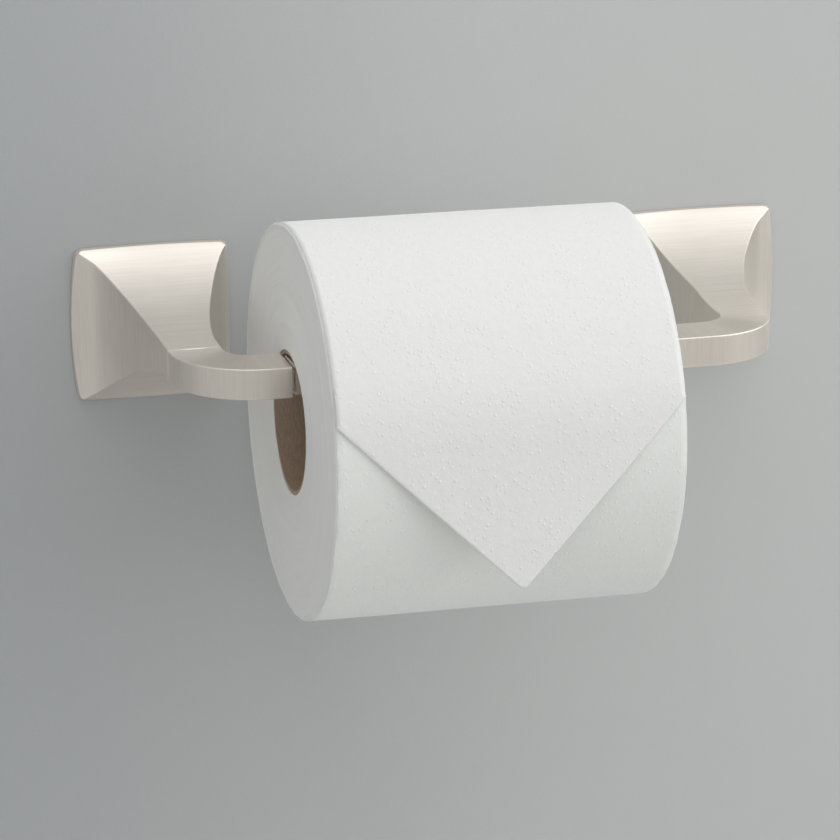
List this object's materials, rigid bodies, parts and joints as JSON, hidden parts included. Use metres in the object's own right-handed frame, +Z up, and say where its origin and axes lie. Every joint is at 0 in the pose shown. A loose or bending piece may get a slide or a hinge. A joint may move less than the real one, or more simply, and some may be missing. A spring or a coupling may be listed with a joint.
{
  "type": "toilet paper holder",
  "caption": "Wall-mounted toilet paper holder: flared square posts in satin nickel, flat-sided elbows and a bar that swings up on one post, with a roll of paper on the bar",
  "frame": {"origin": "centre of the four wall fixings, on the wall plane", "axes": "+X right along the bar, +Y into the wall, +Z up; the front faces -Y"},
  "size_m": [0.2264, 0.1644, 0.1168],
  "materials": {
    "satin_nickel": "satin nickel plate, finely brushed",
    "plain_steel": "zinc-plated steel",
    "bush_plastic": "natural acetal",
    "pad_rubber": "soft matt pad",
    "anchor_plastic": "ribbed nylon",
    "core_cardboard": "grey-brown wound cardboard",
    "tissue_paper": "embossed white tissue"
  },
  "bodies": {
    "posts": {"left_post": "satin_nickel", "right_post": "satin_nickel", "pivot_bush": "bush_plastic", "wave_washer": "plain_steel", "rest_pad": "pad_rubber", "left_bracket": "plain_steel", "right_bracket": "plain_steel", "left_set_screw": "plain_steel", "right_set_screw": "plain_steel", "left_wall_screws": "plain_steel", "right_wall_screws": "plain_steel", "left_wall_anchors": "anchor_plastic", "right_wall_anchors": "anchor_plastic"},
    "arm": {"left_elbow": "satin_nickel", "pivot_bolt": "plain_steel", "roll_bar": "satin_nickel", "tenon_screw": "plain_steel"},
    "roll": {"cardboard_core": "core_cardboard", "paper_roll": "tissue_paper", "paper_leaf": "tissue_paper"}
  },
  "joints": [
    {"name": "arm_lift", "type": "hinge", "parent": "posts", "child": "arm", "pos_m": [-0.0854, -0.053, 0], "axis": [0, -1, 0], "range_deg": [0, 11]},
    {"name": "roll_spin", "type": "hinge", "parent": "arm", "child": "roll", "pos_m": [-0.01025, -0.0724, -0.01427], "axis": [1, 0, 0], "continuous": true}
  ]
}
